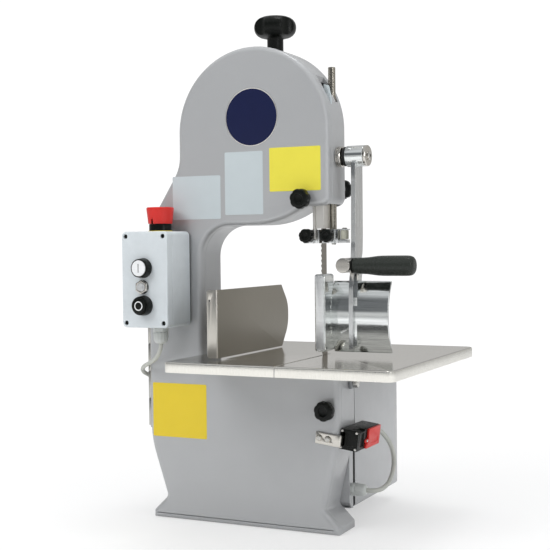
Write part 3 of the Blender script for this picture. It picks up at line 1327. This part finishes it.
def rolled(shape):
    pivot = Matrix.Translation((SWITCH_X, 0, SWITCH_Z))
    turn = pivot @ Matrix.Rotation(ROLL, 4, "Y") @ pivot.inverted()
    bmesh.ops.transform(shape, matrix=turn, verts=shape.verts)
    return shape


def rolled_box(x0, x1, y0, y1, z0, z1, *rounding):
    """A rolled box, with x and z measured from the switch's corner."""
    return rolled(box(
        SWITCH_X + x0, SWITCH_X + x1, y0, y1, SWITCH_Z + z0, SWITCH_Z + z1, *rounding
    ))


def key_slot():
    return rolled_box(3.6, 8, 0, 27, -10.6, 10.6)


piece(
    "switch_case", rolled_box(0.8, 28.6, 12.4, 93, -15.2, 15.2), "black", "frame",
    "interlock_switch", bevel=1, bevel_seg=3,
    cuts=[
        key_slot(), rolled_box(20, 30, 10, 36, 12.2, 16.5), rolled_box(26.6, 30, 22, 34, -10, 10)
    ],
)
SWITCH_FRONT = rectangle(
    SWITCH_X + 0.8, SWITCH_X + 28.6, SWITCH_Z - 15.2, SWITCH_Z + 15.2, 2, 5
)
piece(
    "switch_front", rolled(slab(SWITCH_FRONT, 9.8, 12.9, edge=0.6, steps=3)), "black",
    "frame", cuts=[key_slot(), rolled_box(11.5, 17, 8, 10.6, -9, 9)],
)
for k, (x, z) in enumerate(((3.2, 12.2), (26, 12.2), (3.2, -12.2), (26, -12.2))):
    centre = (SWITCH_X + x, SWITCH_Z + z)
    piece(
        "switch_screw_%d" % k, rolled(rod(2, 10.2, 8.6, 0, 0.6, centre, "Y", 20, steps=3)),
        "zinc", "frame", cuts=[rolled_box(x - 2.2, x + 2.2, 8, 9.1, z - 0.3, z + 0.3)],
    )
piece(
    "switch_lid", rolled_box(28.7, 32, 40, 93, -14.6, 14.2), "red", "frame",
    "interlock_cover", bevel=0.7, bevel_seg=3,
    cuts=[rolled_box(26, 34, 37, 46, -6.5, 20), rolled_box(31.3, 34, 52, 87, -9, -2)],
)
piece(
    "switch_lid_tongue", rolled_box(28.7, 31, 36.4, 47, -5.6, -0.4, 0.6, 2), "red", "frame"
)
piece(
    "switch_lid_screw",
    rolled(rod(2.2, SWITCH_X + 30.8, SWITCH_X + 32.2, 0, 0.5, (42.4, SWITCH_Z - 3), "X", steps=3)),
    "zinc", "frame",
)
# Plan of the angle bracket: x from the switch, y, radius, steps.
KEY_PLAN = [
    (-33, -2.4, 0.5, 2), (6.6, -2.4, 3, 6), (6.6, 23, 0.6, 3), (5, 23, 0.6, 3),
    (5, -0.8, 1.2, 4), (-33, -0.8, 0.4, 2),
]
key_plan = [(SWITCH_X + x, *rest) for x, *rest in KEY_PLAN]
key_hole = rectangle(
    SWITCH_X - 18.5, SWITCH_X - 7.5, SWITCH_Z - 4.6, SWITCH_Z + 0.6, 2.5, 6
)
piece(
    "key_bracket", rolled(filleted(key_plan, SWITCH_Z - 10.9, SWITCH_Z + 6.7)), "nickel",
    "door", "interlock_key", bevel=0.35, angle=50,
    cuts=[
        rolled(filleted(key_hole, -5, 5, "Y")), rolled_box(-5, 12, 0.6, 30, 5.6, 12),
        rolled_box(-5, 12, 0.6, 30, -13, -9.6),
    ],
)
KEY_WASHER = [(4.9, -2.5), (4.9, -2.95), (4.6, -3.1)]
for k, x in enumerate((SWITCH_X - 27, SWITCH_X - 13.5)):
    z = SWITCH_Z - 2
    piece("key_washer_%d" % k, rolled(turned(KEY_WASHER, (x, z), "Y", 32)), "post", "door")
    piece(
        "key_screw_%d" % k, rolled(rod(3.9, -3.1, -5.6, 0, 1.7, (x, z), "Y", 32)), "zinc",
        "door", cuts=[rolled(cut) for cut in cross_slot(x, -6, -4.9, z, reach=1.9, half=0.4)],
    )


# ---- stage, in metres -------------------------------------------------------------------------------
def floor_material():
    """A pale floor that fades to glowing white away from the machine, for the camera only."""
    surface = Surface("pale_floor", (0.93, 0.93, 0.93), metallic=0, rough=0.7)
    surface.tint(surface.noise(scale=3), (0.93, 0.93, 0.93), (0.95, 0.95, 0.95))
    far = surface.add("VectorMath", "Value", surface.coord, props={"operation": "LENGTH"})
    fade = surface.span(far, 0, 1, from_low=0.25, from_high=1.3)
    seen = surface.add("LightPath", "Is Camera Ray")
    glow = surface.add("Emission", 0, Color=(1, 1, 1, 1), Strength=1.05)
    # The glow's share is 0.45 at the machine and 1 far away.
    share = surface.math("ADD", surface.math("MULTIPLY", fade, 0.55), 0.45)
    share = surface.math("MULTIPLY", seen, share)
    mixed = surface.add("MixShader", 0, share, surface.shader.outputs[0], glow)
    surface.tree.links.new(mixed, surface.tree.nodes["Material Output"].inputs["Surface"])
    return surface.material


floor_mesh = bpy.data.meshes.new("floor")
grid = bmesh.new()
bmesh.ops.create_grid(grid, x_segments=1, y_segments=1, size=14)
grid.to_mesh(floor_mesh)
grid.free()
floor = bpy.data.objects.new("floor", floor_mesh)
floor.location = (0, 0, -0.0004)
bpy.context.scene.collection.objects.link(floor)
floor.data.materials.append(floor_material())

scene = bpy.context.scene
scene.view_settings.view_transform = "Standard"

# World: white to the camera, soft bands of light to everything else.
# Each ramp: height from straight down (0) to straight up (1), colour.
FRONT_SKY = [
    (0, (0.62, 0.61, 0.60)), (0.48, (0.80, 0.80, 0.79)), (0.535, (0.84, 0.85, 0.86)),
    (0.56, (0.22, 0.23, 0.24)), (0.74, (0.20, 0.21, 0.22)), (0.80, (0.86, 0.88, 0.90)),
    (1, (0.80, 0.81, 0.82)),
]
BACK_SKY = [
    (0, (0.62, 0.61, 0.60)), (0.46, (0.66, 0.65, 0.63)), (0.52, (0.78, 0.77, 0.75)),
    (0.62, (0.62, 0.62, 0.62)), (0.80, (0.78, 0.79, 0.80)), (1, (0.85, 0.85, 0.85)),
]


def sky_ramp(tree, height, stops):
    colour = add_node(tree, "ValToRGB", "Color", Fac=height)
    elements = colour.node.color_ramp.elements
    for element, (place, shade_rgb) in zip(elements, (stops[0], stops[-1])):
        element.position, element.color = place, (*shade_rgb, 1)
    for place, shade_rgb in stops[1:-1]:
        elements.new(place).color = (*shade_rgb, 1)
    return colour


def build_world():
    world = bpy.data.worlds.new("studio")
    scene.world = world
    world.use_nodes = True
    tree = world.node_tree
    tree.nodes.clear()
    output = tree.nodes.new("ShaderNodeOutputWorld")
    direction = tree.nodes.new("ShaderNodeSeparateXYZ")
    tree.links.new(add_node(tree, "TexCoord", "Generated"), direction.inputs[0])
    height = add_node(
        tree, "Math", 0, direction.outputs["Z"], 0.5, 0.5, props={"operation": "MULTIPLY_ADD"}
    )
    turn = add_node(
        tree, "MapRange", "Result", Value=direction.outputs["Y"], From_Min=-0.25, From_Max=0.35
    )
    colour = add_node(
        tree, "Mix", "Result", props={"data_type": "RGBA"}, Factor=turn,
        A=sky_ramp(tree, height, FRONT_SKY), B=sky_ramp(tree, height, BACK_SKY),
    )
    soft = add_node(tree, "Background", 0, Color=colour, Strength=0.72)
    white = add_node(tree, "Background", 0, Color=(1, 1, 1, 1), Strength=1.05)
    seen = add_node(tree, "LightPath", "Is Camera Ray")
    tree.links.new(add_node(tree, "MixShader", 0, seen, soft, white), output.inputs["Surface"])


build_world()


def area(name, place, aim_z, size, power, colour=(1, 1, 1), mirrored=False):
    """A rectangular light aimed at a height on the Z axis."""
    light = bpy.data.lights.new(name, "AREA")
    light.shape = "RECTANGLE"
    light.size, light.size_y = size
    light.energy = power
    light.color = colour
    lamp = bpy.data.objects.new(name, light)
    lamp.location = place
    lamp.rotation_mode = "QUATERNION"
    lamp.rotation_quaternion = (Vector((0, 0, aim_z)) - Vector(place)).to_track_quat("-Z", "Y")
    lamp.visible_glossy = mirrored
    scene.collection.objects.link(lamp)


area("key", (-1.3, -2.2, 2.1), aim_z=0.4, size=(1.6, 1.6), power=40)
area("side", (2.4, -0.4, 1.3), aim_z=0.4, size=(1.2, 1.8), power=11, colour=(0.95, 0.97, 1))
area("top", (0.2, 0.2, 2.6), aim_z=0.3, size=(2.2, 1.8), power=21)
area("glint_top", (0.25, 0.05, 2.5), aim_z=0.7, size=(0.35, 0.5), power=4, mirrored=True)
area("glint_side", (1.95, -1, 1), aim_z=0.5, size=(0.3, 1.1), power=5, mirrored=True)

# ---- camera: three-quarter view from the front right ------------------------------------------------
AZIMUTH, ELEVATION, CAMERA_ROLL = (math.radians(a) for a in (25.838, 1.574, -0.6315))
CAMERA_PLACE = (960.9, -1533.4, 429.7)  # millimetres in the machine's frame
back = Vector((
    math.sin(AZIMUTH) * math.cos(ELEVATION), -math.cos(AZIMUTH) * math.cos(ELEVATION),
    math.sin(ELEVATION),
))
level = (-back).cross(Vector((0, 0, 1))).normalized()
upright = level.cross(-back).normalized()
right = level * math.cos(CAMERA_ROLL) + upright * math.sin(CAMERA_ROLL)
up = upright * math.cos(CAMERA_ROLL) - level * math.sin(CAMERA_ROLL)
camera = bpy.data.objects.new("camera", bpy.data.cameras.new("camera"))
camera.data.sensor_width = 36
camera.data.lens = 74.845964
camera.data.clip_start, camera.data.clip_end = 0.05, 60
columns = (right, up, back, in_cad(*CAMERA_PLACE))
camera.matrix_world = Matrix([*([c[i] for c in columns] for i in range(3)), (0, 0, 0, 1)])
scene.collection.objects.link(camera)
scene.camera = camera
